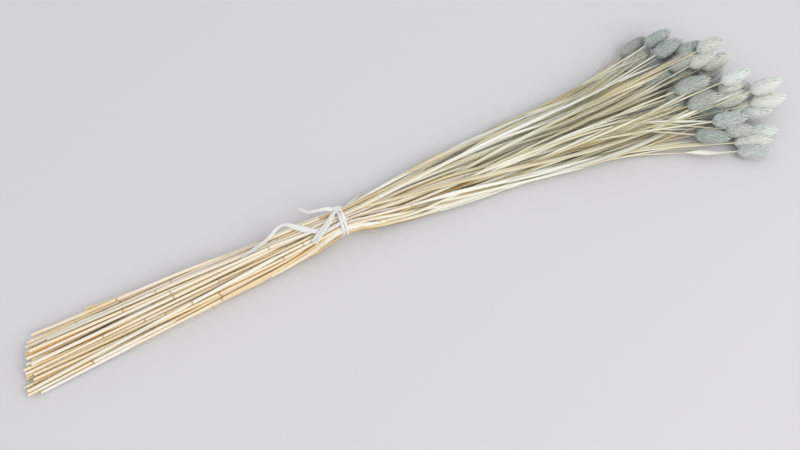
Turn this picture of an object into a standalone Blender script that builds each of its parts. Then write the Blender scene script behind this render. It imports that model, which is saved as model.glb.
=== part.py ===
"""A bunch of dried phalaris, tied once and laid down.

Each stalk is a stem that ends in one seed head. The bunch lies along +X, with its cut ends at -X and its
heads at +X, on the plane z = 0, and its origin is under the middle of the tie. A few rules with seeded
draws say how the cut ends, the tie and the heads are spread. The stalks then settle: they sink, and move
apart until none crosses another. Heads that press against each other become one body.
"""

import math
from types import SimpleNamespace

import bmesh
import bpy
import numpy as np
from mathutils import Matrix, Vector

# Driving dimensions, in metres
SEED = 11
STALKS = 40
BUTTS_AT = -0.277  # where most stems are cut
BUTTS_SLANT = 0.20  # how much shorter the stems are cut towards +Y, for each metre across
SHORT_BUTT_AT = -0.225  # where the outermost stem on that side is cut
BUTT_RADIUS = 0.00130
NECK_SHARE = 0.50  # of the butt's radius is left under the head
SHEATH_MOST = 0.0007  # how far a leaf sheath makes a stem thicker, on its stretch before the head
SHEATH_X = (0.022, 0.110, 0.170, 0.280)
SHEATH_SWELL = (0, 1, 1, 0)
HEAD_LENGTH = 0.0330
HEAD_RADIUS = 0.0069
BASE_RADIUS = 0.0013  # of a head, where its stem enters
REACH = 0.428  # from the tie to the furthest tips
BUTTS_MIDDLE, BUTTS_SPREAD = -0.027, 0.027
JOINT_SWELL = 0.00028
JOINT_HALF = 0.0014
TIE_RADIUS = 0.0112  # inside which the stems lie at the tie
TIE_CENTRE = 0.0121
TIE_FROM, TIE_TO = -0.003, 0.004
TIE_THICKNESS = 0.0008
TIE_CLEAR = 0.00035
RIBBON_WIDTH = 0.005
RIBBON_THICKNESS = 0.0007
TAIL_POINT = 0.45  # of its width is left at a tail's free end
TOUCH_GAP = 0.0003  # between a stem's end and its head
CLEAR = 0.0005  # between stalks while they settle
PRESS = 0.0030  # how far two heads of one group sink into each other
PILE = np.array((-0.5, 0.866))  # heads that have no room slide this way, up and across, in the pile
PILE_HOLD = 0.5  # of the pull that brings them back from there

# The fan of stems between the tie and the heads: its edges at these distances from the tie
FAN_X = (0.0, 0.035, 0.10, 0.17, 0.235, 0.28)
FAN_LOW = (-0.0095, -0.010, -0.0145, -0.0185, -0.022, -0.028)
FAN_HIGH = (0.0095, 0.0225, 0.039, 0.047, 0.0535, 0.059)

# The heads that lie on top: tip along and across the bunch, height, and degrees of lean and upward tilt
TOP_HEADS = (
    (0.365, 0.066, 0.023, 17, 2),
    (0.347, 0.074, 0.009, 26, 4),
    (0.340, 0.053, 0.018, 22, 2),
    (0.363, 0.046, 0.031, 19, 1),
    (0.380, 0.057, 0.011, 22, 2),
    (0.385, 0.045, 0.023, 19, 0),
    (0.399, 0.036, 0.031, 13, -2),
    (0.365, 0.038, 0.014, 20, 2),
    (0.371, 0.033, 0.022, 18, 2),
    (0.389, 0.025, 0.025, 13, 0),
    (0.407, 0.024, 0.016, 12, -2),
    (0.403, -0.002, 0.030, 6, -1),
    (0.362, 0.001, 0.032, 3, 2),
    (0.343, 0.028, 0.018, 9, 2),
    (0.400, -0.011, 0.022, 4, -2),
    (0.426, -0.019, 0.019, 3, -3),
    (0.353, -0.003, 0.021, 2, 0),
    (0.365, -0.017, 0.027, -1, 0),
    (0.395, -0.020, 0.014, -3, -3),
    (0.428, -0.026, 0.011, -5, -4),
    (0.378, -0.037, 0.025, -12, -3),
    (0.411, -0.042, 0.010, -12, -4),
    (0.384, -0.052, 0.017, -24, -9),
    (0.352, -0.008, 0.010, -5, 0),
    (0.358, -0.047, 0.011, -28, -8),
    (0.395, -0.060, 0.008, -20, -2),
    (0.387, -0.070, 0.008, -25, 0),
)

# The heads under them: their fan angles, and how far behind the front they end, in turn
UNDER_LOW, UNDER_HIGH = -6.8, 5.6
UNDER_BEHIND = (0.012, 0.046)
UNDER_HEIGHT = 0.008

# A stalk is straight between these distances from the tie, and from HEAD_FROM to its tip
STATIONS = np.array(
    (-0.295, -0.14, -0.060, -0.022, -0.004, 0.004, 0.022, 0.060, 0.11, 0.17, 0.235, 0.28, 0.435)
)
AT_TIE = (4, 5)
HEAD_FROM = 11
SAMPLES = np.linspace(0, 1, 64)  # along the stretch that holds the heads
SETTLE_ROUNDS, TIDY_ROUNDS, PRESS_ROUNDS = 700, 400, 600

# How finely the solids are faceted
STEM_SIDES, HEAD_SIDES, HEAD_TIERS, BAND_SIDES = 5, 7, 6, 38
TIER_VALLEY = 0.80  # radius between two tiers of spikelets
MOST_GROUPS, MOST_IN_GROUP = 16, 6

# The knot on the band: where it sits on the ring, in degrees, and its half sizes along, around and out
KNOT_AT = 55
KNOT_SIZE = (0.0042, 0.0036, 0.0021)

# Where the ribbon's three tails run from the band: x, y, z, and degrees that their width is turned
SHORT_TAIL = (
    (-0.0041, 0.0077, 0.0234, 8),
    (-0.0074, 0.0093, 0.0243, 22),
    (-0.0107, 0.0103, 0.0245, 34),
    (-0.0142, 0.0110, 0.0241, 42),
    (-0.0178, 0.0120, 0.0234, 46),
    (-0.0213, 0.0130, 0.0224, 48),
    (-0.0245, 0.0145, 0.0216, 48),
    (-0.0273, 0.0169, 0.0213, 45),
    (-0.0306, 0.0212, 0.0219, 40),
)
BROAD_TAIL = (
    (-0.0054, 0.0034, 0.0232, 0),
    (-0.0080, 0.0012, 0.0226, 0),
    (-0.0105, -0.0010, 0.0220, 0),
    (-0.0136, -0.0036, 0.0218, 0),
    (-0.0167, -0.0060, 0.0220, 0),
    (-0.0199, -0.0083, 0.0220, 0),
    (-0.0231, -0.0106, 0.0214, 0),
    (-0.0263, -0.0127, 0.0205, 0),
    (-0.0300, -0.0150, 0.0198, 0),
)
LONG_TAIL = (
    (-0.0042, -0.0066, 0.0211, 0),
    (-0.0100, -0.0077, 0.0207, 0),
    (-0.0160, -0.0078, 0.0204, 0),
    (-0.0212, -0.0066, 0.0205, 0),
    (-0.0262, -0.0040, 0.0204, 0),
    (-0.0318, -0.0004, 0.0204, 8),
    (-0.0375, 0.0038, 0.0206, 25),
    (-0.0428, 0.0077, 0.0216, 50),
    (-0.0482, 0.0100, 0.0224, 70),
    (-0.0538, 0.0093, 0.0214, 60),
    (-0.0600, 0.0062, 0.0196, 35),
    (-0.0668, 0.0030, 0.0184, 12),
    (-0.0752, 0.0003, 0.0182, 0),
    (-0.0835, -0.0020, 0.0179, 0),
    (-0.0910, -0.0038, 0.0180, 0),
)
TAIL_STEPS = 2  # pieces between two points of a route


def spread_evenly(rng, count, low, high, jitter):
    """Values evenly from low to high, each moved by up to this share of a step."""
    step = (high - low) / count
    return low + step * (np.arange(count) + 0.5 + rng.uniform(-jitter, jitter, count))


def stem_radius(x, girth, sheath):
    """A stem thins from its cut end towards its head, and a sheath may thicken it on the way."""
    along = np.clip((x + 0.29) / 0.66, 0, 1)
    bare = girth * BUTT_RADIUS * (1 - (1 - NECK_SHARE) * along**3)
    return bare + sheath * np.interp(x, SHEATH_X, SHEATH_SWELL)


def head_outline(share):
    """A head's radius, as a share of its widest, from its base at 0 to its tip at 1."""
    skewed = np.clip(share, 0, 1) ** 0.9
    return np.sqrt(4 * skewed * (1 - skewed))


def rank(values):
    """Each value's place in order, from -1 to 1."""
    return 2 * (np.argsort(np.argsort(values)) + 0.5) / len(values) - 1


def front_of_fan(angle):
    """How far the fan reaches at an angle. Its front is an arc, furthest a little below the middle."""
    off = angle + 3
    return REACH - np.where(off > 0, 0.064 * (off / 13.7) ** 2, 0.038 * (off / 7.3) ** 2)


def draw_heads(rng, bunch):
    """Places the heads on top where they are listed, and the others under them."""
    top = np.array(TOP_HEADS)
    under = STALKS - len(top)
    angle = spread_evenly(rng, under, UNDER_LOW, UNDER_HIGH, 0.30)
    behind = np.resize(UNDER_BEHIND, under) + rng.uniform(-0.006, 0.006, under)
    tip = front_of_fan(angle) - behind
    bunch.length = HEAD_LENGTH + 0.0035 * rng.uniform(-1, 1, STALKS)
    bunch.width = HEAD_RADIUS + 0.0006 * rng.uniform(-1, 1, STALKS)
    lean = np.radians(np.append(top[:, 3], 1.6 * angle + 2 + rng.uniform(-4, 4, under)))
    tilt = np.radians(np.append(top[:, 4], rng.uniform(-2, 2, under)))
    tip_y = np.append(top[:, 1], tip * np.sin(np.radians(angle)))
    bunch.tip_x = np.append(top[:, 0], tip * np.cos(np.radians(angle)))
    bunch.base_x = bunch.tip_x - bunch.length * np.cos(lean) * np.cos(tilt)
    bunch.middle_x = (bunch.tip_x + bunch.base_x) / 2
    bunch.slope_y = np.tan(lean)
    bunch.slope_z = np.tan(tilt) / np.cos(lean)
    bunch.middle_y = tip_y - bunch.slope_y * (bunch.tip_x - bunch.middle_x)
    bunch.middle_z = np.append(top[:, 2], UNDER_HEIGHT + rng.uniform(-0.001, 0.001, under))


def draw_cut_ends(rng, bunch):
    """Spreads the cut ends and the stems' places in the tie, mostly in the heads' order."""
    count = STALKS
    order = rank(bunch.middle_y + rng.normal(0, 0.022, count))
    bunch.butt_y = BUTTS_MIDDLE + BUTTS_SPREAD * order + rng.normal(0, 0.0035, count)
    bunch.butt_z = 0.0015 + rng.uniform(0, 0.011, count)
    bunch.across = rank(bunch.middle_y + rng.normal(0, 0.035, count))
    bunch.tie_y = 0.0090 * bunch.across
    height = np.sqrt(np.clip(1 - bunch.across**2, 0.05, 1))
    bunch.tie_z = TIE_CENTRE + 0.008 * height * rng.uniform(-1, 1, count)
    slant = BUTTS_SLANT * (bunch.butt_y - BUTTS_MIDDLE)
    bunch.butt_x = BUTTS_AT + slant + rng.uniform(-0.005, 0.005, count)
    short = rng.choice(count, 5, replace=False)
    bunch.butt_x[short] += rng.uniform(0.006, 0.03, len(short))
    bunch.butt_x[bunch.butt_y.argmax()] = SHORT_BUTT_AT
    bunch.girth = rng.uniform(0.86, 1.12, count)
    bunch.sheath = SHEATH_MOST * np.clip(rng.uniform(-0.5, 1.2, count), 0, 1)


def goals(bunch):
    """Where each stalk would run if it had the space to itself: (stalk, station, y and z)."""
    neck = STATIONS[HEAD_FROM]
    neck_y = bunch.middle_y + bunch.slope_y * (neck - bunch.middle_x)
    neck_z = bunch.middle_z + bunch.slope_z * (neck - bunch.middle_x)
    neck_rank = rank(neck_y)
    goal = np.zeros((STALKS, len(STATIONS), 2))
    for k, x in enumerate(STATIONS):
        if x <= 0:
            t = x / STATIONS[0]
            bulge = 0.22 * (1 - math.exp(x / 0.025)) * (1 - t)
            y = bunch.tie_y * (1 - t + bulge) + bunch.butt_y * t
            z = bunch.tie_z * (1 - t) + bunch.butt_z * t
        elif x <= neck:
            t = x / neck
            low, high = np.interp(x, FAN_X, FAN_LOW), np.interp(x, FAN_X, FAN_HIGH)
            mixed = (bunch.across * (1 - t) + neck_rank * t) / math.sqrt(0.35 + 0.65 * (2 * t - 1) ** 2)
            fan = (low + high) / 2 + (high - low) / 2 * np.clip(mixed, -1, 1)
            own = 0.75 * t**3
            y = fan * (1 - own) + neck_y * own
            z = bunch.tie_z * (1 - t) + neck_z * t
        else:
            y = bunch.middle_y + bunch.slope_y * (x - bunch.middle_x)
            z = bunch.middle_z + bunch.slope_z * (x - bunch.middle_x)
        goal[:, k, 0], goal[:, k, 1] = y, z
    return goal


def measure_girths(bunch):
    """Radii at the stations, and along the heads' stretch, where a stalk is stem, head or nothing."""
    bunch.radius = stem_radius(STATIONS[None, :], bunch.girth[:, None], bunch.sheath[:, None])
    x = STATIONS[HEAD_FROM] + SAMPLES * (STATIONS[-1] - STATIONS[HEAD_FROM])
    share = (x[None, :] - bunch.base_x[:, None]) / (bunch.tip_x - bunch.base_x)[:, None]
    stem = stem_radius(x[None, :], bunch.girth[:, None], 0)
    head = np.maximum(bunch.width[:, None] * head_outline(share), BASE_RADIUS)
    bunch.is_head = (share >= 0) & (share <= 1.04)
    bunch.is_core = (share >= 0.14) & (share <= 0.86)
    bunch.there = share <= 1.04
    bunch.sample_radius = np.where(share < 0, stem, head)


def draw_bunch():
    """All stalks, still crossing each other."""
    rng = np.random.default_rng(SEED)
    bunch = SimpleNamespace()
    draw_heads(rng, bunch)
    draw_cut_ends(rng, bunch)
    bunch.first, bunch.second = np.triu_indices(STALKS, 1)
    bunch.same_group = np.zeros(len(bunch.first), dtype=bool)
    bunch.pressed = np.zeros(len(bunch.first), dtype=bool)
    measure_girths(bunch)
    # Whole nanometres from here on, so that the bunch settles the same on every machine
    bunch.butt_x = np.round(bunch.butt_x, 9)
    bunch.radius = np.round(bunch.radius, 9)
    bunch.sample_radius = np.round(bunch.sample_radius, 9)
    bunch.goal = np.round(goals(bunch), 9)
    bunch.at = bunch.goal.copy()
    bunch.joints = draw_joints(rng)
    bunch.turn = rng.uniform(0, 2 * math.pi, STALKS)
    return bunch


def draw_joints(rng):
    """Two swollen joints on each stem, clear of the tie."""
    first = rng.uniform(-0.235, -0.115, STALKS)
    second = first + rng.uniform(0.085, 0.145, STALKS)
    second = np.where(np.abs(second) < 0.012, second + 0.026, second)
    return np.stack((first, second), axis=1)


def share_out(move, bunch, stations, t, push):
    """Adds each pair's push to its two stalks, split between two stations by how near they are."""
    for stalk, sign in ((bunch.first, 1), (bunch.second, -1)):
        np.add.at(move, (stalk, stations[0]), sign * (1 - t)[:, None] * push)
        np.add.at(move, (stalk, stations[1]), sign * t[:, None] * push)


def push_along(offset, distance, amount, t):
    """A push of this amount at t, as it has to be at the two stations to come out so."""
    direction = offset / np.maximum(distance, 1e-9)[:, None]
    return direction * (amount / (2 * ((1 - t) ** 2 + t**2)))[:, None]


def part_stems(bunch, move, strength):
    """Pushes apart the stems that come too near between two stations."""
    between = bunch.at[bunch.first] - bunch.at[bunch.second]
    both = bunch.radius[bunch.first] + bunch.radius[bunch.second]
    start = np.maximum(bunch.butt_x[bunch.first], bunch.butt_x[bunch.second])
    for k in range(HEAD_FROM):
        run = between[:, k + 1] - between[:, k]
        nearest = -(between[:, k] * run).sum(-1) / np.maximum((run * run).sum(-1), 1e-16)
        earliest = (start - STATIONS[0]) / (STATIONS[1] - STATIONS[0]) if k == 0 else 0
        t = np.clip(nearest, earliest, 1)
        offset = between[:, k] + t[:, None] * run
        distance = np.sqrt((offset * offset).sum(-1))
        lack = both[:, k] * (1 - t) + both[:, k + 1] * t + CLEAR - distance
        amount = strength * np.maximum(lack, 0)
        share_out(move, bunch, (k, k + 1), t, push_along(offset, distance, amount, t))


def head_offsets(bunch):
    """Each pair's offset and distance at every sample of the heads' stretch."""
    start = bunch.at[bunch.first, HEAD_FROM] - bunch.at[bunch.second, HEAD_FROM]
    end = bunch.at[bunch.first, -1] - bunch.at[bunch.second, -1]
    t = SAMPLES[None, :, None]
    offset = start[:, None] * (1 - t) + end[:, None] * t
    return offset, np.sqrt((offset * offset).sum(-1))


def part_heads(bunch, move, strength):
    """Pushes heads and stems apart where the heads are, and draws pressed heads together."""
    offset, distance = head_offsets(bunch)
    need = bunch.sample_radius[bunch.first] + bunch.sample_radius[bunch.second]
    both_there = bunch.there[bunch.first] & bunch.there[bunch.second]
    both_heads = bunch.is_head[bunch.first] & bunch.is_head[bunch.second]
    gap = np.where(both_heads & bunch.same_group[:, None], -PRESS, CLEAR)
    lack = np.where(both_there, need + gap - distance, -1)
    pairs = np.arange(len(lack))
    worst = lack.argmax(1)
    amount = strength * np.maximum(lack[pairs, worst], 0)
    push = push_along(offset[pairs, worst], distance[pairs, worst], amount, SAMPLES[worst])
    share_out(move, bunch, (HEAD_FROM, -1), SAMPLES[worst], push)
    if bunch.pressed.any():
        both_cores = bunch.is_core[bunch.first] & bunch.is_core[bunch.second]
        apart = np.where(both_cores, distance - need, 1)
        nearest = apart.argmin(1)
        excess = np.maximum(apart[pairs, nearest] + PRESS, 0) * bunch.pressed
        pull = push_along(offset[pairs, nearest], distance[pairs, nearest], -strength * excess, SAMPLES[nearest])
        share_out(move, bunch, (HEAD_FROM, -1), SAMPLES[nearest], pull)


def hold_in_tie(bunch):
    """Keeps the stems inside the tie's ring and above its flat underside."""
    centre = np.array((0.0, TIE_CENTRE))
    for k in AT_TIE:
        out = bunch.at[:, k] - centre
        distance = np.sqrt((out * out).sum(-1))
        most = TIE_RADIUS - bunch.radius[:, k]
        bunch.at[:, k] = centre + out * np.minimum(1, most / np.maximum(distance, 1e-9))[:, None]
        lowest = TIE_THICKNESS + TIE_CLEAR + 0.0001 + bunch.radius[:, k]
        bunch.at[:, k, 1] = np.maximum(bunch.at[:, k, 1], lowest)


def hold_on_surface(bunch):
    """Lifts what has sunk below the surface that the bunch lies on."""
    stems = bunch.at[:, : HEAD_FROM + 1, 1]
    np.maximum(stems, bunch.radius[:, : HEAD_FROM + 1] + JOINT_SWELL + 0.0001, out=stems)
    start, end = bunch.at[:, HEAD_FROM, 1], bunch.at[:, -1, 1]
    height = start[:, None] * (1 - SAMPLES) + end[:, None] * SAMPLES
    lack = np.where(bunch.there, bunch.sample_radius + 0.0001 - height, -1)
    worst = lack.argmax(1)
    t = SAMPLES[worst]
    lift = np.maximum(lack[np.arange(STALKS), worst], 0) / ((1 - t) ** 2 + t**2)
    bunch.at[:, HEAD_FROM, 1] += (1 - t) * lift
    bunch.at[:, -1, 1] += t * lift


def straighten(bunch, amount):
    """Moves each station towards the line between its neighbours, as a stiff stem does."""
    for k in range(1, HEAD_FROM + 1):
        if k in AT_TIE:
            continue
        t = (STATIONS[k] - STATIONS[k - 1]) / (STATIONS[k + 1] - STATIONS[k - 1])
        line = bunch.at[:, k - 1] * (1 - t) + bunch.at[:, k + 1] * t
        least = 0.3 if k >= HEAD_FROM - 1 else 1
        bunch.at[:, k] += amount * least * (line - bunch.at[:, k])


def settle(bunch, rounds, strength, pull=0.0, sink=0.0, stiff=0.0):
    """Lets the stalks sink, straighten and part, less and less towards the end."""
    for turn in range(rounds):
        left = 1 - turn / rounds
        away = bunch.goal - bunch.at
        slide = away[:, HEAD_FROM:, :1] * PILE[0] + away[:, HEAD_FROM:, 1:] * PILE[1]
        away[:, HEAD_FROM:] -= (1 - PILE_HOLD) * slide * PILE
        bunch.at += pull * max(left**2, 0.15) * away
        bunch.at[:, :HEAD_FROM, 1] -= sink * left
        straighten(bunch, stiff * left)
        move = np.zeros_like(bunch.at)
        part_stems(bunch, move, strength)
        part_heads(bunch, move, strength)
        bunch.at += move
        hold_in_tie(bunch)
        hold_on_surface(bunch)


def group_heads(bunch):
    """Joins heads to their nearest neighbours until few enough groups are left."""
    offset, distance = head_offsets(bunch)
    both_cores = bunch.is_core[bunch.first] & bunch.is_core[bunch.second]
    need = bunch.sample_radius[bunch.first] + bunch.sample_radius[bunch.second]
    gap = np.where(both_cores, distance - need, 1).min(1)
    group = np.arange(STALKS)
    for pair in np.argsort(gap, kind="stable"):
        one, other = group[bunch.first[pair]], group[bunch.second[pair]]
        together = (group == one).sum() + (group == other).sum()
        if one == other or together > MOST_IN_GROUP:
            continue
        group[group == other] = one
        bunch.pressed[pair] = True
        if len(set(group)) <= MOST_GROUPS:
            break
    bunch.group = group
    bunch.same_group = group[bunch.first] == group[bunch.second]


def settled_bunch():
    """The whole bunch at rest, with some heads pressed together."""
    bunch = draw_bunch()
    settle(bunch, SETTLE_ROUNDS, 0.35, pull=0.05, sink=0.00012, stiff=0.07)
    group_heads(bunch)
    bunch.goal = bunch.at.copy()
    settle(bunch, PRESS_ROUNDS, 0.40, sink=0.00002, stiff=0.01)
    settle(bunch, TIDY_ROUNDS, 0.50)
    return bunch


def point_on(bunch, stalk, x):
    """The middle of a stalk at x."""
    y = np.interp(x, STATIONS, bunch.at[stalk, :, 0])
    z = np.interp(x, STATIONS, bunch.at[stalk, :, 1])
    return Vector((x, y, z))


def plain_material(name, colour, roughness):
    """A matt material for dried plant or ribbon."""
    material = bpy.data.materials.new(name)
    material.use_nodes = True
    shader = material.node_tree.nodes["Principled BSDF"]
    shader.inputs["Base Color"].default_value = (*colour, 1)
    shader.inputs["Roughness"].default_value = roughness
    shader.inputs["Metallic"].default_value = 0
    material.diffuse_color = (*colour, 1)
    return material


def new_object(name, bm, material):
    """A shaded object from a finished bmesh."""
    bmesh.ops.recalc_face_normals(bm, faces=bm.faces)
    mesh = bpy.data.meshes.new(name)
    bm.to_mesh(mesh)
    bm.free()
    mesh.materials.append(material)
    mesh.shade_smooth()
    mesh.set_sharp_from_angle(angle=math.radians(50))
    obj = bpy.data.objects.new(name, mesh)
    bpy.context.scene.collection.objects.link(obj)
    return obj


def upright_ring(bm, centre, radius, sides, turn):
    """A ring of points in the plane across X."""
    ring = []
    for k in range(sides):
        angle = turn + 2 * math.pi * k / sides
        offset = Vector((0, radius * math.cos(angle), radius * math.sin(angle)))
        ring.append(bm.verts.new(centre + offset))
    return ring


def bridge(bm, ring, following, half_step):
    """Faces between two rings. With half_step the second is turned by half a side, so they are triangles."""
    count = len(ring)
    for k in range(count):
        after = (k + 1) % count
        if half_step:
            bm.faces.new((ring[k], ring[after], following[k]))
            bm.faces.new((ring[after], following[after], following[k]))
        else:
            bm.faces.new((ring[k], ring[after], following[after], following[k]))


def stem_rings(bunch, stalk):
    """Each ring of a stem as (x, radius): its ends, its stations and its swollen joints."""
    start, end = bunch.butt_x[stalk], bunch.base_x[stalk] - TOUCH_GAP
    rings = [(x, 0.0) for x in STATIONS if start + 0.004 < x < end - 0.004]
    rings += [(start, 0.0), (end, 0.0)]
    for joint in bunch.joints[stalk]:
        rings += [(joint - JOINT_HALF, 0.0), (joint, JOINT_SWELL), (joint + JOINT_HALF, 0.0)]
    girth, sheath = bunch.girth[stalk], bunch.sheath[stalk]
    return [(x, stem_radius(x, girth, sheath) + swell) for x, swell in sorted(rings)]


def make_stem(bunch, stalk, material):
    """One stem, from its cut end to just under its head."""
    bm = bmesh.new()
    previous = None
    for x, radius in stem_rings(bunch, stalk):
        ring = upright_ring(bm, point_on(bunch, stalk, x), radius, STEM_SIDES, bunch.turn[stalk])
        if previous is None:
            bm.faces.new(ring)
        else:
            bridge(bm, previous, ring, False)
        previous = ring
    bm.faces.new(previous)
    return new_object(f"stem_{stalk + 1:02d}", bm, material)


def head_rings(bunch, stalk):
    """Each ring of a head as (share of its length, radius, half steps turned). Tiers overlap like scales."""
    width = bunch.width[stalk]
    rings = [(0.0, BASE_RADIUS, 0)]
    for tier in range(HEAD_TIERS):
        crest = 0.95 * (tier + 1) / HEAD_TIERS
        rings.append((crest, width * head_outline(crest), tier))
        if tier < HEAD_TIERS - 1:
            valley = crest + 0.035
            rings.append((valley, width * TIER_VALLEY * head_outline(valley), tier + 1))
    return rings


def make_head(bunch, stalk, material):
    """One seed head, with its spikelets as tiers of overlapping points."""
    bm = bmesh.new()
    base, tip = bunch.base_x[stalk], bunch.tip_x[stalk]
    previous, last_turn = None, 0
    for share, radius, turned in head_rings(bunch, stalk):
        turn = bunch.turn[stalk] + turned * math.pi / HEAD_SIDES
        ring = upright_ring(bm, point_on(bunch, stalk, base + share * (tip - base)), radius, HEAD_SIDES, turn)
        if previous is None:
            bm.faces.new(ring)
        else:
            bridge(bm, previous, ring, turned != last_turn)
        previous, last_turn = ring, turned
    pole = bm.verts.new(point_on(bunch, stalk, tip))
    for k in range(HEAD_SIDES):
        bm.faces.new((previous[k], previous[(k + 1) % HEAD_SIDES], pole))
    bmesh.ops.triangulate(bm, faces=bm.faces)
    return new_object(f"head_{stalk + 1:02d}", bm, material)


def fuse(first, others):
    """Joins the other objects into the first, as one body, and removes them."""
    collection = bpy.data.collections.new("pressed")
    bpy.context.scene.collection.children.link(collection)
    for obj in others:
        bpy.context.scene.collection.objects.unlink(obj)
        collection.objects.link(obj)
    union = first.modifiers.new("union", "BOOLEAN")
    union.operation = "UNION"
    union.operand_type = "COLLECTION"
    union.collection = collection
    union.solver = "EXACT"
    graph = bpy.context.evaluated_depsgraph_get()
    joined = bpy.data.meshes.new_from_object(first.evaluated_get(graph))
    first.modifiers.clear()
    first.data = joined
    for obj in others:
        bpy.data.objects.remove(obj)
    bpy.data.collections.remove(collection)


def make_heads(bunch, material):
    """All heads, with each group that is pressed together as one body."""
    for number, group in enumerate(sorted(set(bunch.group)), start=1):
        heads = [make_head(bunch, stalk, material) for stalk in np.flatnonzero(bunch.group == group)]
        if len(heads) > 1:
            fuse(heads[0], heads[1:])
        heads[0].name = f"heads_{number:02d}"


def make_band(material):
    """The ribbon's turn round the stems, flat where it lies on the surface."""
    inner = TIE_RADIUS + TIE_CLEAR
    outer = inner + TIE_THICKNESS
    flat = math.acos(TIE_CENTRE / outer)
    bm = bmesh.new()
    loops = []
    for k in range(BAND_SIDES):
        angle = -math.pi / 2 + flat + 2 * (math.pi - flat) * k / (BAND_SIDES - 1)
        corners = ((TIE_FROM, inner), (TIE_FROM, outer), (TIE_TO, outer), (TIE_TO, inner))
        loop = []
        for x, radius in corners:
            y, z = radius * math.cos(angle), TIE_CENTRE + radius * math.sin(angle)
            loop.append(bm.verts.new((x, y, max(z, 0))))
        loops.append(loop)
    for loop, following in zip(loops, loops[1:] + loops[:1]):
        bridge(bm, loop, following, False)
    return new_object("tie_band", bm, material)


def make_knot(material):
    """A flat oval lump, sunk halfway into the band."""
    angle = math.radians(KNOT_AT)
    outer = TIE_RADIUS + TIE_CLEAR + TIE_THICKNESS
    middle = Vector(((TIE_FROM + TIE_TO) / 2, outer * math.cos(angle), TIE_CENTRE + outer * math.sin(angle)))
    bm = bmesh.new()
    bmesh.ops.create_uvsphere(bm, u_segments=12, v_segments=8, radius=1)
    bmesh.ops.scale(bm, vec=KNOT_SIZE, verts=bm.verts)
    bmesh.ops.rotate(bm, matrix=Matrix.Rotation(angle - math.pi / 2, 3, "X"), verts=bm.verts)
    bmesh.ops.translate(bm, vec=middle, verts=bm.verts)
    bmesh.ops.triangulate(bm, faces=bm.faces)
    return new_object("knot", bm, material)


def smooth_run(route):
    """Points along a smooth curve through a route's points."""
    rows = np.array(route)
    rows = np.vstack((2 * rows[0] - rows[1], rows, 2 * rows[-1] - rows[-2]))
    run = []
    for before, start, end, after in zip(rows, rows[1:], rows[2:], rows[3:]):
        for step in range(TAIL_STEPS):
            t = step / TAIL_STEPS
            bend = (end - before) * t + (2 * before - 5 * start + 4 * end - after) * t**2
            run.append(start + (bend + (3 * start - before - 3 * end + after) * t**3) / 2)
    run.append(rows[-2])
    return run


def strip_corners(run, k):
    """The four corners of a ribbon across its run at point k."""
    before, after = run[max(k - 1, 0)], run[min(k + 1, len(run) - 1)]
    along = Vector(after[:3] - before[:3]).normalized()
    level = along.cross(Vector((0, 0, 1))).normalized()
    turn = math.radians(run[k][3])
    side = level * math.cos(turn) + level.cross(along) * math.sin(turn)
    face = side.cross(along)
    near_end = max(0, k / (len(run) - 1) - 0.5) * 2
    half_width = RIBBON_WIDTH / 2 * (1 - (1 - TAIL_POINT) * near_end**2)
    half_thickness = RIBBON_THICKNESS / 2
    centre = Vector(run[k][:3])
    return [
        centre + side * across * half_width + face * up * half_thickness
        for across, up in ((1, 1), (-1, 1), (-1, -1), (1, -1))
    ]


def make_tail(name, route, material):
    """One loose end of the ribbon, a flat strip that turns as it runs."""
    bm = bmesh.new()
    run = smooth_run(route)
    loops = [[bm.verts.new(corner) for corner in strip_corners(run, k)] for k in range(len(run))]
    bm.faces.new(loops[0])
    bm.faces.new(loops[-1])
    for loop, following in zip(loops, loops[1:]):
        for k in range(4):
            after = (k + 1) % 4
            # Both wide faces are split along the same diagonal, so the strip stays as thick where it twists
            if k < 2:
                bm.faces.new((loop[k], loop[after], following[after]))
                bm.faces.new((loop[k], following[after], following[k]))
            else:
                bm.faces.new((loop[k], loop[after], following[k]))
                bm.faces.new((loop[after], following[after], following[k]))
    return new_object(name, bm, material)


def main():
    for obj in list(bpy.data.objects):
        bpy.data.objects.remove(obj)
    straw = plain_material("straw", (0.80, 0.69, 0.46), 0.55)
    sage = plain_material("sage", (0.50, 0.56, 0.49), 0.90)
    ribbon = plain_material("ribbon", (0.86, 0.87, 0.87), 0.60)
    bunch = settled_bunch()
    for stalk in range(STALKS):
        make_stem(bunch, stalk, straw)
    make_heads(bunch, sage)
    fuse(make_band(ribbon), [make_knot(ribbon)])
    make_tail("tie_tail_short", SHORT_TAIL, ribbon)
    make_tail("tie_tail_broad", BROAD_TAIL, ribbon)
    make_tail("tie_tail_long", LONG_TAIL, ribbon)


main()
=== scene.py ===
"""The looks of a dried phalaris bunch that lies on a pale surface.

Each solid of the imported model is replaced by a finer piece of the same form: stems with joints, streaks
and papery sheaths, seed heads of small overlapping spikelets, and the streaked ribbon that ties them.
"""

import math
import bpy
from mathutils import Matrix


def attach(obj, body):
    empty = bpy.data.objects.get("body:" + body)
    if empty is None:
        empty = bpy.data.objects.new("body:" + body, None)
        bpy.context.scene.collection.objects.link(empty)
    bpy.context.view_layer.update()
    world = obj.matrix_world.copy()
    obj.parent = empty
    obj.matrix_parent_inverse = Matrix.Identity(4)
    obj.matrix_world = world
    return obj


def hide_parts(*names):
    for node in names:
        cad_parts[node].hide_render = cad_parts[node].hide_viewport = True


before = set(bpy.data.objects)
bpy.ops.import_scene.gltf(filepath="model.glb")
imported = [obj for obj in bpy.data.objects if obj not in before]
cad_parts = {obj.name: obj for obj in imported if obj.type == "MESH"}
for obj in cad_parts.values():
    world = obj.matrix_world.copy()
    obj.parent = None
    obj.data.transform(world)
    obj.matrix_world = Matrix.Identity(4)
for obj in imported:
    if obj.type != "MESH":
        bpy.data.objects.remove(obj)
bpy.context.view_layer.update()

from types import SimpleNamespace

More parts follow.
